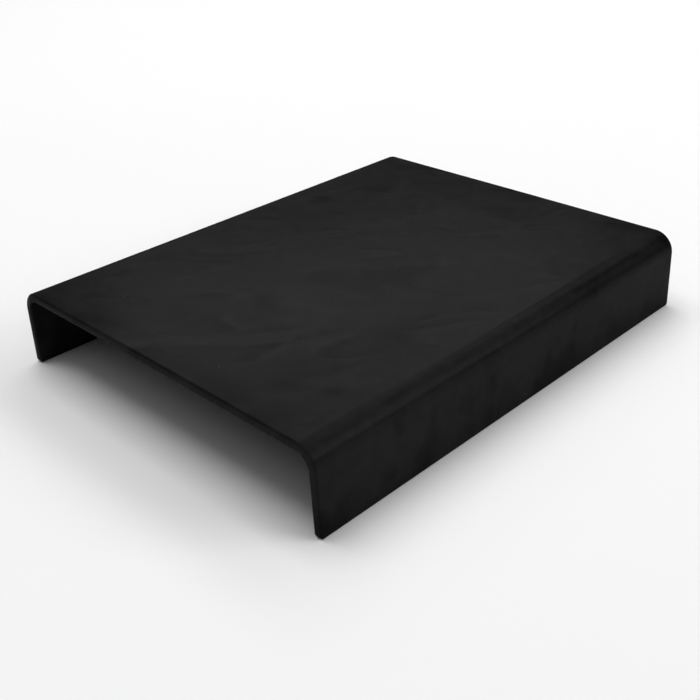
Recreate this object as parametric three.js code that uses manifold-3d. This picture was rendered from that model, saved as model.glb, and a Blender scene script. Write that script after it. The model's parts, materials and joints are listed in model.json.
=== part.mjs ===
// Kick plate: one rectangle of steel plate, folded down along both long sides into a wide, low,
// upside-down U, and powder-coated matt black. The folds have sprung back a little, so the flanges
// splay out. It is a single piece: nothing is welded, screwed or glued to it, and it has no holes.
//
// Millimetres, +Z up. The origin is on the surface that the plate stands on, under the middle of
// its top. X runs across the plate from flange to flange, and Y runs along the bends.

import * as THREE from 'three';
import { mergeVertices } from 'three/addons/utils/BufferGeometryUtils.js';
import Module from 'manifold-3d';

const wasm = await Module();
wasm.setup();

// Driving dimensions
const LENGTH = 300; // along the bends
const WIDTH = 240; // across the bends, over the feet of the flanges
const HEIGHT = 47; // from the feet of the flanges to the top face
const THICKNESS = 5; // of the plate
const INNER_BEND_RADIUS = 7; // left by the press brake on the inside of each fold
const SPRINGBACK = 2; // degrees that each fold stops short of square, so the flanges splay out
const FOOT_CORNER_RADIUS = 2; // at the lower corners of each flange
const BEND_STEPS = 24; // flats in each bend
const CORNER_STEPS = 6; // flats round each corner of the feet
const TRIM = 10; // how far the untrimmed profile and outline run past the finished plate

// Worked out from them
const OUTER_BEND_RADIUS = INNER_BEND_RADIUS + THICKNESS;
const SPLAY = THREE.MathUtils.degToRad(SPRINGBACK);
const BEND_Z = HEIGHT - OUTER_BEND_RADIUS; // the bends' centre lines
const BEND_X = WIDTH / 2 - BEND_Z * Math.tan(SPLAY) - OUTER_BEND_RADIUS / Math.cos(SPLAY);

// The folded section across the bends, drawn in X and Z. The feet run on below Z = 0.
function foldedSection() {
  const outerX = WIDTH / 2 + TRIM * Math.tan(SPLAY);
  const innerX = outerX - THICKNESS / Math.cos(SPLAY);
  const flangeTopX = BEND_X + OUTER_BEND_RADIUS * Math.cos(SPLAY);
  const flangeTopZ = BEND_Z + OUTER_BEND_RADIUS * Math.sin(SPLAY);
  const upright = Math.PI / 2;
  const section = new THREE.Shape();
  section.moveTo(outerX, -TRIM);
  section.lineTo(flangeTopX, flangeTopZ);
  section.absarc(BEND_X, BEND_Z, OUTER_BEND_RADIUS, SPLAY, upright, false);
  section.absarc(-BEND_X, BEND_Z, OUTER_BEND_RADIUS, upright, Math.PI - SPLAY, false);
  section.lineTo(-outerX, -TRIM);
  section.lineTo(-innerX, -TRIM);
  section.absarc(-BEND_X, BEND_Z, INNER_BEND_RADIUS, Math.PI - SPLAY, upright, true);
  section.absarc(BEND_X, BEND_Z, INNER_BEND_RADIUS, upright, SPLAY, true);
  section.lineTo(innerX, -TRIM);
  section.closePath();
  return section;
}

// The outline seen from the side, drawn in Y and Z: square above, rounded at the feet.
function sideOutline() {
  const end = LENGTH / 2;
  const corner = FOOT_CORNER_RADIUS;
  const outline = new THREE.Shape();
  outline.moveTo(-end, HEIGHT + TRIM);
  outline.lineTo(-end, corner);
  outline.absarc(corner - end, corner, corner, Math.PI, 1.5 * Math.PI, false);
  outline.absarc(end - corner, corner, corner, 1.5 * Math.PI, 2 * Math.PI, false);
  outline.lineTo(end, HEIGHT + TRIM);
  outline.closePath();
  return outline;
}

// A shape pulled out to a depth and centred on it, with its first drawn axis laid along one axis
// of the plate, its second along Z, and its depth along the axis that is left.
function centredExtrusion(shape, curveSegments, depth, drawnAlong, depthAlong) {
  const geometry = new THREE.ExtrudeGeometry(shape, { depth, bevelEnabled: false, curveSegments });
  geometry.translate(0, 0, -depth / 2);
  const up = new THREE.Vector3(0, 0, 1);
  geometry.applyMatrix4(new THREE.Matrix4().makeBasis(drawnAlong, up, depthAlong));
  return geometry;
}

function toManifold(geometry) {
  const bare = geometry.clone();
  bare.deleteAttribute('normal');
  bare.deleteAttribute('uv');
  const merged = mergeVertices(bare);
  return new wasm.Manifold(new wasm.Mesh({
    numProp: 3,
    vertProperties: new Float32Array(merged.attributes.position.array),
    triVerts: new Uint32Array(merged.index.array),
  }));
}

function toGeometry(solid) {
  const mesh = solid.getMesh();
  const geometry = new THREE.BufferGeometry();
  geometry.setAttribute('position', new THREE.BufferAttribute(mesh.vertProperties, 3));
  geometry.setIndex(new THREE.BufferAttribute(mesh.triVerts, 1));
  geometry.computeVertexNormals();
  return geometry;
}

// The folded section gives the plate its thickness and its bends. The side outline trims its ends
// square and cuts its feet to height with their corners rounded.
function foldedPlate() {
  const alongX = new THREE.Vector3(1, 0, 0);
  const alongY = new THREE.Vector3(0, 1, 0);
  const section = centredExtrusion(
    foldedSection(), BEND_STEPS, LENGTH + 2 * TRIM, alongX, alongY.clone().negate());
  const outline = centredExtrusion(
    sideOutline(), CORNER_STEPS, WIDTH + 2 * TRIM, alongY, alongX);
  const geometry = toGeometry(toManifold(section).intersect(toManifold(outline)));
  const powderCoat = new THREE.MeshStandardMaterial({
    color: 0x1a1a1a,
    roughness: 0.55,
    metalness: 0,
  });
  const mesh = new THREE.Mesh(geometry, powderCoat);
  mesh.name = 'folded_plate';
  return mesh;
}

const kickPlate = new THREE.Group();
kickPlate.name = 'kick_plate';
kickPlate.add(foldedPlate());

export default kickPlate;
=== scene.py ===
"""Looks for the kick plate: one steel plate, folded down along both sides, powder-coated matt black.

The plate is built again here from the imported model's own dimensions, as a swept mesh with the rounded
edges, the slight crown and the swollen bend ends that a real folded plate has. Everything is in
metres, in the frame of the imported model: X across the flanges, Y along the bends, Z up from the floor.
"""

import json
import math

import bmesh
import bpy
import numpy as np
from mathutils import Matrix, Vector


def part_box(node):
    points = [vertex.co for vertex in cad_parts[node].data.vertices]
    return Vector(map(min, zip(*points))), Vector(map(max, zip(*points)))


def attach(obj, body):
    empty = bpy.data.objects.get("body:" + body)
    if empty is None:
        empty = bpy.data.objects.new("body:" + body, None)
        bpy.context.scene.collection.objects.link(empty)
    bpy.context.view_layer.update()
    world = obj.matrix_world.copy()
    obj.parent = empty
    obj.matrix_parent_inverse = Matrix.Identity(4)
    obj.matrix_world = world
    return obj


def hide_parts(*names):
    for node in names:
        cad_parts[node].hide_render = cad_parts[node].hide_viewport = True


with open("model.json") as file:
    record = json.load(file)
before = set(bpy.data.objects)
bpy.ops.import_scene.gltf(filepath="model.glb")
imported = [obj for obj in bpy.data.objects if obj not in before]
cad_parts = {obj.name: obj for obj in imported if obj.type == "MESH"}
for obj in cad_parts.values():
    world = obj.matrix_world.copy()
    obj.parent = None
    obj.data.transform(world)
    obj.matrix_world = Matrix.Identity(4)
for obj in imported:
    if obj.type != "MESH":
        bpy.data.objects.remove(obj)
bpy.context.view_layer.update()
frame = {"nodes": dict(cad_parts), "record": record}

NODE = "folded_plate"
MM = 0.001
TINY = 0.001 * MM  # places closer than this are one place

# Sizes of the plate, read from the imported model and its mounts
HALF_WIDTH, HALF_LENGTH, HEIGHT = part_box(NODE)[1]
MOUNTS = {mount["name"]: mount for mount in frame["record"]["mounts"]}
THICKNESS = MOUNTS["top_face"]["pos_m"][2] - MOUNTS["underside"]["pos_m"][2]
SPLAY = math.asin(MOUNTS["right_outer_face"]["axis"][2])  # how far the flanges lean out at the foot
BEND_X = max(v.co.x for v in frame["nodes"][NODE].data.vertices if v.co.z > HEIGHT - TINY)
FULL_TURN = HALF_WIDTH - HEIGHT * math.tan(SPLAY) - BEND_X
BEND_RADIUS = FULL_TURN / (1 / math.cos(SPLAY) - math.tan(SPLAY))  # on the outside of the plate
BEND_Z = HEIGHT - BEND_RADIUS  # height of the bends' centre lines, which stand under BEND_X
BEND_ANGLE = math.pi / 2 - SPLAY
BEND_ARC = BEND_RADIUS * BEND_ANGLE
BEND_END = BEND_X + BEND_ARC  # where the flange begins, measured along the outside of the plate
FLANGE_TOP = BEND_Z + BEND_RADIUS * math.sin(SPLAY)  # the height of the same place

# Finer shape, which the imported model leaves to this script
EDGE_RADIUS = 1.1 * MM  # the cut edges, dressed and then rounded over by the coat
FOOT_CORNER = 2.0 * MM  # the lower corners of the flanges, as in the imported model
CROWN = 0.4 * MM  # how far the top rises in the middle of its near end
CROWN_HALFWAY = 0.65  # the share of that rise that is left halfway along the plate
BEND_SWELL = 0.35 * MM  # how far the squeezed inside of a bend stands out at the ends

# Mesh density
GRID = 5.0 * MM  # spacing of the rows on the flat stretches
SUPPORT = 0.3 * MM  # rows beside each tangent line keep the flats flat in shading
BEND_STEPS = 24
EDGE_STEPS = 5
CORNER_STEPS = 8

# The coat
DARK_COAT = (0.0045, 0.0045, 0.0045, 1.0)
PALE_COAT = (0.0213, 0.0213, 0.0213, 1.0)
DUST = (0.05, 0.05, 0.048, 1.0)
ROUGHNESS = 0.216
SHINE = 0.0096  # the specular level of a dead matt coat
WIPE_DIRECTION = math.radians(45)  # the way the cloth went over the top, from +X towards +Y
WIPE_STRETCH = 2.1  # how much longer the wiped marks are that way
WIPE_MARGIN = 15 * MM  # where the marks weaken, before the bends
UPPER_LINE = 34.0  # degrees round the bend from the top, where the painted dark reflection lines lie
LOWER_LINE = 60.0
PAINTED_SHADE_WIDTH = 24 * MM  # of the strip of painted shade along each cut end
BEND_MARGIN = 4 * MM  # how far the bend's ripple runs on to the flats

# The studio
FLOOR_RADIUS = 1.5
FLOOR_SIDES = 128
BACKDROP = 0.82
WALLS = 0.064  # brightness of the room below its ceiling
CEILING = 0.47
WALLS_TOP = 0.52  # sine of the elevation where the walls begin to turn into the ceiling
CEILING_START = 0.72
LAMP_DISTANCE = 3.0
CAMERA_AZIMUTH = 45.45
CAMERA_ELEVATION = 29.70
CAMERA_ROLL = math.radians(-2.20)
CAMERA_BACK = 2.0279  # the camera's place from the origin, before its roll, in lengths of the plate
CAMERA_RIGHT = -0.0237
CAMERA_UP = -0.0359
SENSOR_WIDTH = 36.0  # in millimetres, as the lens is
LENS = 51.76


# ---------------------------------------------------------------- the plate's shape

def spaced(start, end):
    """Evenly spaced places from start to end, with a support row just inside each."""
    inner = np.linspace(start + SUPPORT, end - SUPPORT, max(2, round((end - start) / GRID)))
    return np.concatenate([[start], inner, [end]])


def flange_x(z, depth):
    """How far out a skin of the flange stands at a height."""
    return HALF_WIDTH - z * math.tan(SPLAY) - depth / math.cos(SPLAY)


def down_sheet(z):
    """Distance along the outside, from the middle of the top down to a height on the flange."""
    return BEND_END + (FLANGE_TOP - z) / math.cos(SPLAY)


def foot_height(y, inset):
    """Height of a flange's lower edge at y, for a skin that is inset from the cut edge."""
    past_corner = max(abs(y) - (HALF_LENGTH - FOOT_CORNER), 0.0)
    reach = (FOOT_CORNER - inset) ** 2 - past_corner**2
    return FOOT_CORNER - math.sqrt(max(reach, 0.0))


def half_skin(depth, foot):
    """One skin from the middle of the top to the right foot, at a depth below the outside.

    Each row is x, z and the distance along the outside of the plate from the middle of the top.
    """
    web = [(x, HEIGHT - depth, x) for x in spaced(0.0, BEND_X)]
    radius = BEND_RADIUS - depth
    bend = []
    for angle in np.linspace(0.0, BEND_ANGLE, BEND_STEPS + 1)[1:-1]:
        x = BEND_X + radius * math.sin(angle)
        z = BEND_Z + radius * math.cos(angle)
        bend.append((x, z, BEND_X + BEND_RADIUS * angle))
    top = BEND_Z + radius * math.sin(SPLAY)
    heights = top - spaced(0.0, FLANGE_TOP) / FLANGE_TOP * (top - foot)
    flange = [(flange_x(z, depth), z, down_sheet(z)) for z in heights]
    return np.array(web + bend + flange)


def whole_skin(depth, foot):
    """One skin from the left foot over the top to the right foot."""
    right = half_skin(depth, foot)
    left = right[:0:-1] * (-1.0, 1.0, -1.0)
    return np.concatenate([left, right])


def edge_angles(start):
    """Angles round a quarter-round edge, from the skin's tangent at 0 to the cut face at 90 degrees."""
    return np.linspace(start, math.pi / 2, EDGE_STEPS + 1)


def foot_edge(y, start):
    """The right foot's lower edge, from its outer skin round to its inner skin.

    Each row is x, z, the distance along the outside of the plate, and the depth below the outside.
    """
    rows = []
    for angle in edge_angles(start)[1:]:
        depth = EDGE_RADIUS * (1 - math.cos(angle))
        z = foot_height(y, EDGE_RADIUS * (1 - math.sin(angle)))
        rows.append((flange_x(z, depth), z, down_sheet(z), depth))
    outer = np.array(rows)
    inner = outer[::-1].copy()
    inner[:, 3] = THICKNESS - outer[::-1, 3]
    inner[:, 0] = flange_x(inner[:, 1], inner[:, 3])
    return np.concatenate([outer, inner])


def section(y, start):
    """The closed loop round the plate at y, and how many of its points are on the outer skin.

    Each row is x, y, z and the place in the flat sheet: the distance across it, the distance along it,
    and the depth. start is how far round the end's own edge the loop lies, which is 0 all along the
    plate and 90 degrees at its end.
    """
    depth = EDGE_RADIUS * (1 - math.cos(start))
    foot = foot_height(y, EDGE_RADIUS * (1 - math.sin(start)))
    outer = whole_skin(depth, foot)
    inner = whole_skin(THICKNESS - depth, foot)[::-1]
    right_foot = foot_edge(y, start)
    left_foot = right_foot[::-1] * (-1.0, 1.0, -1.0, 1.0)
    outer = np.column_stack([outer, np.full(len(outer), depth)])
    inner = np.column_stack([inner, np.full(len(inner), THICKNESS - depth)])
    loop = np.concatenate([outer, right_foot, inner, left_foot])
    x, z, across, below = loop.T
    along = np.full(len(loop), y)
    return np.column_stack([x, along, z, across, along, below]), len(outer)


def stations():
    """Places along the plate from end to end, each with its angle round the end's edge."""
    corner_start = HALF_LENGTH - FOOT_CORNER
    edge_start = HALF_LENGTH - EDGE_RADIUS
    body = [(y, 0.0) for y in spaced(0.0, corner_start)]
    corner = [(y, 0.0) for y in np.linspace(corner_start, edge_start, CORNER_STEPS + 1)[1:]]
    end = []
    for angle in edge_angles(0.0)[1:]:
        end.append((HALF_LENGTH - EDGE_RADIUS * (1 - math.sin(angle)), angle))
    far = body + corner + end
    near = [(-y, angle) for y, angle in far[:0:-1]]
    return near + far


def settled(points, sheet):
    """The small ways in which a folded plate strays from its drawing: a crown and swollen bend ends."""
    moved = points.copy()
    x, y = points[:, 0], points[:, 1]
    across, depth = np.abs(sheet[:, 0]), sheet[:, 2]

    over_web = np.cos(np.clip(x / BEND_X, -1, 1) * math.pi / 2) ** 2
    share = CROWN_HALFWAY - (1 - CROWN_HALFWAY) * y / HALF_LENGTH
    moved[:, 2] += CROWN * over_web * share * (across <= BEND_X)

    turned = np.clip((across - BEND_X) / BEND_ARC, 0, 1)
    squeezed = 2 * depth / THICKNESS - 1
    near_an_end = np.exp((np.abs(y) - HALF_LENGTH) / THICKNESS)
    moved[:, 1] += np.sign(y) * BEND_SWELL * np.sin(turned * math.pi) * squeezed * near_an_end
    return moved


def skin_faces(count, around):
    """Quads between each of the count loops and the next one, with around points in every loop."""
    faces = []
    for row in range(count - 1):
        a, b = row * around, (row + 1) * around
        for i in range(around):
            j = (i + 1) % around
            faces.append((a + i, a + j, b + j, b + i))
    return faces


def end_faces(base, skin, flip):
    """Quads over the cut face of one end, from the outer skin to the inner skin.

    base is the first point of the end's loop, and skin is how many points each skin has.
    """
    last_inner = base + 2 * skin + 2 * EDGE_STEPS - 1
    faces = []
    for i in range(skin - 1):
        quad = (base + i, last_inner - i, last_inner - i - 1, base + i + 1)
        faces.append(quad[::-1] if flip else quad)
    return faces


def plate_mesh():
    """The whole plate as one closed mesh. Each point's place in the flat sheet is kept with it."""
    loops = [section(y, start) for y, start in stations()]
    skin = loops[0][1]
    rows = np.stack([loop for loop, _ in loops])
    count, around = rows.shape[:2]
    faces = skin_faces(count, around)
    faces += end_faces(0, skin, False)
    faces += end_faces((count - 1) * around, skin, True)
    flat = rows.reshape(-1, 6)
    sheet = flat[:, 3:]
    points = settled(flat[:, :3], sheet)
    mesh = bpy.data.meshes.new("plate")
    mesh.from_pydata(points.tolist(), [], faces)
    place = mesh.attributes.new("sheet", "FLOAT_VECTOR", "POINT")
    place.data.foreach_set("vector", sheet.astype(np.float32).ravel())
    shaped = bmesh.new()
    shaped.from_mesh(mesh)
    bmesh.ops.remove_doubles(shaped, verts=shaped.verts, dist=TINY)
    bmesh.ops.recalc_face_normals(shaped, faces=shaped.faces)
    shaped.to_mesh(mesh)
    shaped.free()
    mesh.shade_smooth()
    return mesh


# ---------------------------------------------------------------- node helpers

def add(tree, kind, inputs=None, **settings):
    """A node with its settings, and with each named input set to a number or joined to a socket."""
    made = tree.nodes.new(kind)
    for name, value in settings.items():
        setattr(made, name, value)
    for name, value in (inputs or {}).items():
        if isinstance(value, bpy.types.NodeSocket):
            tree.links.new(value, made.inputs[name])
        else:
            made.inputs[name].default_value = value
    return made


def calc(tree, operation, a, b=0.0):
    return add(tree, "ShaderNodeMath", {0: a, 1: b}, operation=operation).outputs[0]


def product(tree, first, *others):
    total = first
    for factor in others:
        total = calc(tree, "MULTIPLY", total, factor)
    return total


def weighted(tree, start, parts):
    """A number plus each part times its weight."""
    total = start
    for part, weight in parts:
        inputs = {0: part, 1: weight, 2: total}
        total = add(tree, "ShaderNodeMath", inputs, operation="MULTIPLY_ADD").outputs[0]
    return total


def distance_from(tree, value, middle):
    return calc(tree, "ABSOLUTE", calc(tree, "SUBTRACT", value, middle))


def ranged(tree, value, low, high, to_low=0.0, to_high=1.0):
    """A value eased from one range into another, and held at its ends."""
    inputs = {"Value": value, "From Min": low, "From Max": high, "To Min": to_low, "To Max": to_high}
    return add(tree, "ShaderNodeMapRange", inputs, interpolation_type="SMOOTHSTEP").outputs[0]


def blended(tree, factor, a, b):
    """A colour between two colours."""
    inputs = {"Factor": factor, "A": a, "B": b}
    return add(tree, "ShaderNodeMix", inputs, data_type="RGBA").outputs["Result"]


def noise(tree, place, per_metre, detail=3.0, roughness=0.5, distortion=0.0):
    inputs = {
        "Vector": place,
        "Scale": per_metre,
        "Detail": detail,
        "Roughness": roughness,
        "Distortion": distortion,
    }
    return add(tree, "ShaderNodeTexNoise", inputs, noise_dimensions="3D").outputs["Fac"]


def shifted(tree, place, offset, stretch=(1.0, 1.0, 1.0)):
    """The place scaled and then moved, which gives a noise a pattern of its own."""
    inputs = {"Vector": place, "Location": offset, "Scale": stretch}
    return add(tree, "ShaderNodeMapping", inputs).outputs[0]


def new_material(name):
    made = bpy.data.materials.new(name)
    made.use_nodes = True
    made.node_tree.nodes.clear()
    tree = made.node_tree
    shader = add(tree, "ShaderNodeBsdfPrincipled")
    add(tree, "ShaderNodeOutputMaterial", {"Surface": shader.outputs[0]})
    return made, tree, shader


# ---------------------------------------------------------------- marks on the coat, and painted light and shade
#
# place is a point's place in the flat sheet, and wiped is that place squeezed along the cloth's way.
# across is the distance from the middle line of the top, side is the same with a sign, along is the
# distance from halfway towards the far end, and depth is measured from the outside.

def along_wipes(tree, place):
    """The place in the sheet, squeezed along the way that the cloth went."""
    inputs = {
        "Vector": place,
        "Rotation": (0.0, 0.0, WIPE_DIRECTION),
        "Scale": (WIPE_STRETCH, 1.0, 1.0),
    }
    return add(tree, "ShaderNodeMapping", inputs, vector_type="TEXTURE").outputs[0]


def strokes(tree, wiped, across, seed, per_metre, width):
    """Faint curved strokes, as a cloth leaves, strongest on the top.

    Each one is a contour line of a noise, dark on one side and light on the other. The result runs
    from about -0.4 to 0.4, and is 0 away from the strokes.
    """
    moved = shifted(tree, wiped, (seed, seed * 0.7, 0.0))
    hills = noise(tree, moved, per_metre, detail=1.5, roughness=0.4, distortion=0.5)
    off_line = calc(tree, "DIVIDE", calc(tree, "SUBTRACT", hills, 0.5), width)
    fall = calc(tree, "EXPONENT", product(tree, off_line, off_line, -1.0))
    patches = noise(tree, shifted(tree, wiped, (0.0, seed, 0.3)), per_metre * 1.4, detail=1.0)
    on_top = ranged(tree, across, BEND_X - WIPE_MARGIN, BEND_X, 1.0, 0.2)
    return product(tree, off_line, fall, ranged(tree, patches, 0.46, 0.62), on_top)


def smudges_and_painted_shade(tree, place, across, along):
    """Dark smudge marks that climb each flange from its foot, some as streaks, and fade to the far end;
    their darkening towards the foot is painted shade.
    """
    share = calc(tree, "DIVIDE", calc(tree, "SUBTRACT", across, BEND_END), down_sheet(0.0) - BEND_END)
    streaks = shifted(tree, place, (0.2, 0.6, 0.0), (0.6, 1.0, 1.0))
    rise = noise(tree, streaks, 38.0, detail=2.0, roughness=0.45, distortion=0.8)
    blots = noise(tree, shifted(tree, place, (0.7, 0.2, 0.0)), 65.0, detail=2.0, distortion=0.5)
    reach = weighted(tree, rise, [(share, 0.22), (blots, 0.45)])
    fading = ranged(tree, along, 0.0, HALF_LENGTH, 1.0, 0.6)
    return product(tree, ranged(tree, reach, 0.76, 1.06), fading)


def painted_reflection_line(tree, place, across, angle, wander, width):
    """A faint dark line painted along a bend at an angle round it, as a painted reflection. 1 on it, 0
    off it.
    """
    lengthwise = shifted(tree, place, (0.3, angle, 0.0), (0.15, 1.0, 0.0))
    sway = calc(tree, "SUBTRACT", noise(tree, lengthwise, 55.0, roughness=0.65), 0.5)
    line = weighted(tree, BEND_X + BEND_RADIUS * math.radians(angle), [(sway, wander)])
    near = ranged(tree, distance_from(tree, across, line), 0.0, width, 1.0, 0.0)
    patches = noise(tree, shifted(tree, place, (0.0, angle, 0.5)), 50.0, detail=2.0)
    return product(tree, near, ranged(tree, patches, 0.35, 0.6, 0.3, 1.0))


def painted_dark_reflection_band(tree, across, along):
    """Painted reflection: the darker band round the middle of each bend. It starts halfway along and
    grows to the far end.
    """
    off_band = distance_from(tree, across, BEND_X + 0.45 * BEND_ARC)
    near = ranged(tree, off_band, 0.0, 0.35 * BEND_ARC, 1.0, 0.0)
    return product(tree, near, ranged(tree, along, 0.0, HALF_LENGTH))


def flange_painted_light_and_shade(tree, across, along):
    """Painted light and shade on the flanges: a slow change of tone, from 1 at the near end to -1 at the
    far end.
    """
    on_flange = ranged(tree, across, BEND_X, BEND_END)
    return product(tree, on_flange, ranged(tree, along, -HALF_LENGTH, HALF_LENGTH, 1.0, -1.0))


def painted_highlight_middle(tree, across, along):
    """A painted highlight: the paler middle of the top."""
    from_middle = calc(tree, "ABSOLUTE", along)
    lengthwise = ranged(tree, from_middle, 0.0, HALF_LENGTH, 1.0, 0.0)
    return product(tree, lengthwise, ranged(tree, across, 0.0, BEND_X, 1.0, 0.0))


def painted_shade_at_ends(tree, place, across, along):
    """Painted shade: darker patches on the top beside the cut ends."""
    from_middle = calc(tree, "ABSOLUTE", along)
    near_end = ranged(tree, from_middle, HALF_LENGTH - PAINTED_SHADE_WIDTH, HALF_LENGTH)
    patches = noise(tree, shifted(tree, place, (0.8, 0.3, 0.0)), 42.0, detail=2.0)
    less_on_flange = ranged(tree, across, BEND_X, BEND_END, 1.0, 0.6)
    return product(tree, near_end, ranged(tree, patches, 0.32, 0.56), less_on_flange)


def on_cut_face(tree, depth):
    """1 on the cut faces, 0 on the skins."""
    from_middle = distance_from(tree, depth, THICKNESS / 2)
    return ranged(tree, from_middle, THICKNESS / 2 - EDGE_RADIUS, THICKNESS / 2, 1.0, 0.0)


def cut_face_painted_shading(tree, side, across, cut_face):
    """Painted light and shade on the cut faces: paler to the right and darker to the left, and less on
    the flanges.
    """
    sideways = ranged(tree, side, -BEND_X, BEND_X, -0.25, 0.4)
    return product(tree, cut_face, sideways, ranged(tree, across, BEND_X, BEND_END, 1.0, 0.4))


def dust(tree, place, depth):
    """A few pale specks on the outside of the plate, one at most in each cell of a coarse scatter."""
    flat = shifted(tree, place, (0.0, 0.0, 0.0), (1.0, 1.0, 0.0))
    inputs = {"Vector": flat, "Scale": 90.0}
    cells = add(tree, "ShaderNodeTexVoronoi", inputs, voronoi_dimensions="2D").outputs
    drawn = add(tree, "ShaderNodeSeparateColor", {"Color": cells["Color"]}).outputs["Red"]
    chosen = calc(tree, "GREATER_THAN", drawn, 0.98)
    near = ranged(tree, cells["Distance"], 0.02, 0.05, 1.0, 0.0)
    outside = ranged(tree, depth, 0.0, EDGE_RADIUS / 2, 1.0, 0.0)
    return product(tree, chosen, near, outside)


def coat_relief(tree, place, across, cut_face):
    """The surface's bumps: ripples on the bends, orange peel, grain, and fine lines across the cuts."""
    mid_bend = BEND_X + BEND_ARC / 2
    onto_bend = ranged(tree, across, BEND_X - BEND_MARGIN, mid_bend)
    off_bend = ranged(tree, across, mid_bend, BEND_END + BEND_MARGIN, 1.0, 0.0)
    ripple = noise(tree, shifted(tree, place, (0.1, 0.9, 0.0)), 55.0, detail=2.0, distortion=0.6)
    peel = noise(tree, place, 600.0, detail=2.0)
    grain = noise(tree, place, 3000.0, detail=1.0)
    through_sheet = shifted(tree, place, (0.0, 0.0, 0.0), (1.0, 1.0, 0.05))
    cut = noise(tree, through_sheet, 1100.0, detail=2.0)
    height = weighted(tree, 0.0, [
        (product(tree, ripple, onto_bend, off_bend), 0.4 * MM),
        (peel, 0.006 * MM),
        (grain, 0.0015 * MM),
        (product(tree, cut, cut_face), 0.018 * MM),
    ])
    inputs = {"Height": height, "Strength": 1.0, "Distance": 1.0}
    return add(tree, "ShaderNodeBump", inputs).outputs["Normal"]


# ---------------------------------------------------------------- materials

def powder_coat():
    """Matt black powder coat: cloudy, wiped and a little dusty, with a fine orange peel, and with a
    painted highlight, painted shade and painted reflections.
    """
    made, tree, shader = new_material("matt_black_powder_coat")
    place = add(tree, "ShaderNodeAttribute", attribute_name="sheet").outputs["Vector"]
    sheet = add(tree, "ShaderNodeSeparateXYZ", {"Vector": place}).outputs
    side, along, depth = sheet["X"], sheet["Y"], sheet["Z"]
    across = calc(tree, "ABSOLUTE", side)
    cut_face = on_cut_face(tree, depth)

    spread = shifted(tree, place, (0.4, 0.1, 0.0))
    clouds = noise(tree, spread, 16.0, detail=4.0, roughness=0.55, distortion=0.5)
    cloudy = calc(tree, "SUBTRACT", clouds, 0.5)
    mottle = noise(tree, place, 110.0, roughness=0.6, distortion=0.8)
    mottled = calc(tree, "SUBTRACT", mottle, 0.5)
    wiped = along_wipes(tree, place)
    long_strokes = strokes(tree, wiped, across, 1.3, 17.0, 0.045)
    short_strokes = strokes(tree, wiped, across, 4.1, 31.0, 0.05)
    smudged_and_shaded = smudges_and_painted_shade(tree, place, across, along)

    tone = weighted(tree, 0.5, [
        (cloudy, 0.3),
        (mottled, 0.4),
        (long_strokes, 0.34),
        (short_strokes, 0.34),
        # a painted highlight in the middle of the top
        (painted_highlight_middle(tree, across, along), 0.16),
        # painted shade beside the cut ends
        (painted_shade_at_ends(tree, place, across, along), -0.26),
        # painted light and shade on the cut faces
        (cut_face_painted_shading(tree, side, across, cut_face), 1.0),
        # real smudge marks, with painted shade towards the foot of each flange
        (smudged_and_shaded, -0.33),
        # painted dark reflection lines along the bends
        (painted_reflection_line(tree, place, across, UPPER_LINE, 4.0 * MM, 2.2 * MM), -0.2),
        (painted_reflection_line(tree, place, across, LOWER_LINE, 3.5 * MM, 1.8 * MM), -0.15),
        # a painted dark reflection on each bend
        (painted_dark_reflection_band(tree, across, along), -0.17),
        # painted light at the near end of the flanges and painted shade at the far end
        (flange_painted_light_and_shade(tree, across, along), 0.15),
    ])
    clean = blended(tree, tone, DARK_COAT, PALE_COAT)
    dusty = blended(tree, dust(tree, place, depth), clean, DUST)
    tree.links.new(dusty, shader.inputs["Base Color"])

    roughness = weighted(tree, ROUGHNESS, [
        (cloudy, -0.04),
        (mottled, 0.05),
        (long_strokes, -0.03),
        (short_strokes, -0.03),
        (smudged_and_shaded, 0.02),
    ])
    tree.links.new(roughness, shader.inputs["Roughness"])
    shader.inputs["Specular IOR Level"].default_value = SHINE
    tree.links.new(coat_relief(tree, place, across, cut_face), shader.inputs["Normal"])
    return made


def floor_paper():
    """Pale matt paper, with a faint unevenness."""
    made, tree, shader = new_material("pale_paper")
    place = add(tree, "ShaderNodeTexCoord").outputs["Object"]
    uneven = noise(tree, place, 1.5, detail=2.0)
    paper = blended(tree, uneven, (0.92, 0.92, 0.92, 1.0), (0.94, 0.94, 0.94, 1.0))
    tree.links.new(paper, shader.inputs["Base Color"])
    shader.inputs["Roughness"].default_value = 0.95
    shader.inputs["Specular IOR Level"].default_value = 0.1
    return made


# ---------------------------------------------------------------- the studio

def direction(azimuth, elevation):
    """A unit vector. Azimuth 0 points back along -Y and 90 along +X; elevation is above the floor."""
    a, e = math.radians(azimuth), math.radians(elevation)
    return Vector((math.sin(a) * math.cos(e), -math.cos(a) * math.cos(e), math.sin(e)))


def make_floor():
    """A round sheet of paper, as wide as the lamps light evenly."""
    turns = np.linspace(0.0, 2 * math.pi, FLOOR_SIDES, endpoint=False)
    rim = [(FLOOR_RADIUS * math.cos(turn), FLOOR_RADIUS * math.sin(turn), 0.0) for turn in turns]
    mesh = bpy.data.meshes.new("floor")
    mesh.from_pydata(rim, [], [tuple(range(FLOOR_SIDES))])
    floor = bpy.data.objects.new("floor", mesh)
    floor.data.materials.append(floor_paper())
    bpy.context.scene.collection.objects.link(floor)


def softbox(name, azimuth, elevation, width, height, radiance):
    """A soft panel that faces the plate. Its power follows from its size and how bright it looks."""
    panel = bpy.data.lights.new(name, "AREA")
    panel.shape = "RECTANGLE"
    panel.size, panel.size_y = width, height
    panel.energy = radiance * math.pi * width * height
    lamp = bpy.data.objects.new(name, panel)
    towards = direction(azimuth, elevation)
    lamp.location = towards * LAMP_DISTANCE
    lamp.rotation_euler = towards.to_track_quat("Z", "Y").to_euler()
    bpy.context.scene.collection.objects.link(lamp)


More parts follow.
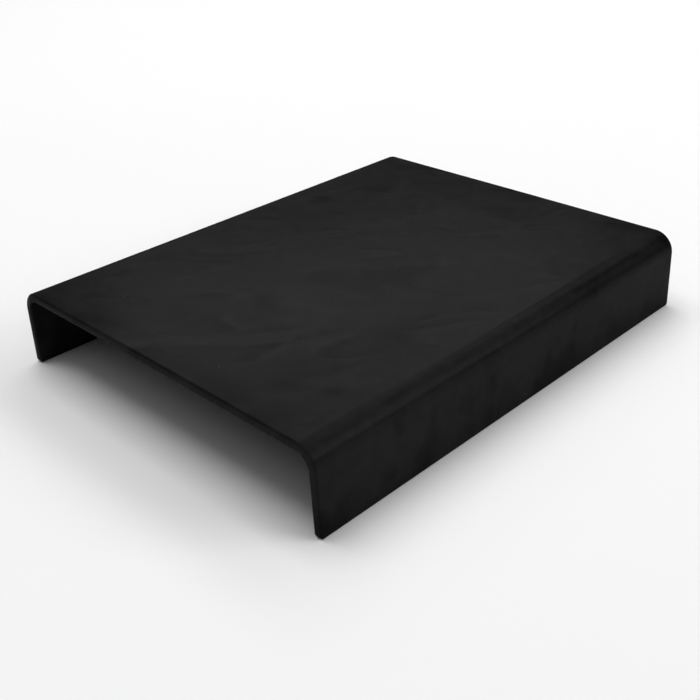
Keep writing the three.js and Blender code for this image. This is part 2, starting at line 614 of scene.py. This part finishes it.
def make_surroundings():
    """A dark room under a pale ceiling, with a pale backdrop that only the camera sees."""
    world = bpy.data.worlds.new("studio")
    world.use_nodes = True
    tree = world.node_tree
    tree.nodes.clear()
    look = add(tree, "ShaderNodeTexCoord").outputs["Generated"]
    rise = add(tree, "ShaderNodeSeparateXYZ", {"Vector": look}).outputs["Z"]
    room = ranged(tree, rise, WALLS_TOP, CEILING_START, WALLS, CEILING)
    seen = add(tree, "ShaderNodeLightPath").outputs["Is Camera Ray"]
    brightness = add(tree, "ShaderNodeMix", {"Factor": seen, "A": room, "B": BACKDROP})
    background = add(tree, "ShaderNodeBackground", {"Color": (1.0, 1.0, 1.0, 1.0)})
    tree.links.new(brightness.outputs["Result"], background.inputs["Strength"])
    add(tree, "ShaderNodeOutputWorld", {"Surface": background.outputs[0]})
    bpy.context.scene.world = world


def make_camera():
    """A camera that looks down over one corner of the plate, with a slight roll."""
    length = 2 * HALF_LENGTH
    back = direction(CAMERA_AZIMUTH, CAMERA_ELEVATION)
    level_right = (-back).cross(Vector((0, 0, 1))).normalized()
    level_up = level_right.cross(-back)
    right = level_right * math.cos(CAMERA_ROLL) + level_up * math.sin(CAMERA_ROLL)
    up = level_up * math.cos(CAMERA_ROLL) - level_right * math.sin(CAMERA_ROLL)
    lens = bpy.data.cameras.new("camera")
    lens.sensor_width = SENSOR_WIDTH
    lens.lens = LENS
    lens.clip_start = 10 * MM
    camera = bpy.data.objects.new("camera", lens)
    place = (back * CAMERA_BACK + level_right * CAMERA_RIGHT + level_up * CAMERA_UP) * length
    turned = Matrix((right, up, back)).transposed().to_4x4()
    camera.matrix_world = Matrix.Translation(place) @ turned
    bpy.context.scene.collection.objects.link(camera)
    bpy.context.scene.camera = camera


make_camera()
make_floor()
make_surroundings()
softbox("key", azimuth=273.5, elevation=69.4, width=2.0, height=2.0, radiance=3.54)
softbox("back_bank", azimuth=225.4, elevation=34.3, width=1.72, height=0.91, radiance=2.17)
softbox("upper_bank", azimuth=193.6, elevation=46.6, width=1.60, height=0.75, radiance=1.79)
softbox("side_high", azimuth=147.9, elevation=45.3, width=1.00, height=0.60, radiance=2.39)
softbox("side_panel", azimuth=123.2, elevation=28.3, width=1.60, height=1.20, radiance=4.98)

plate = bpy.data.objects.new("plate", plate_mesh())
plate.data.materials.append(powder_coat())
bpy.context.scene.collection.objects.link(plate)
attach(plate, "root")
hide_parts(NODE)

bpy.context.scene.view_settings.view_transform = "Standard"
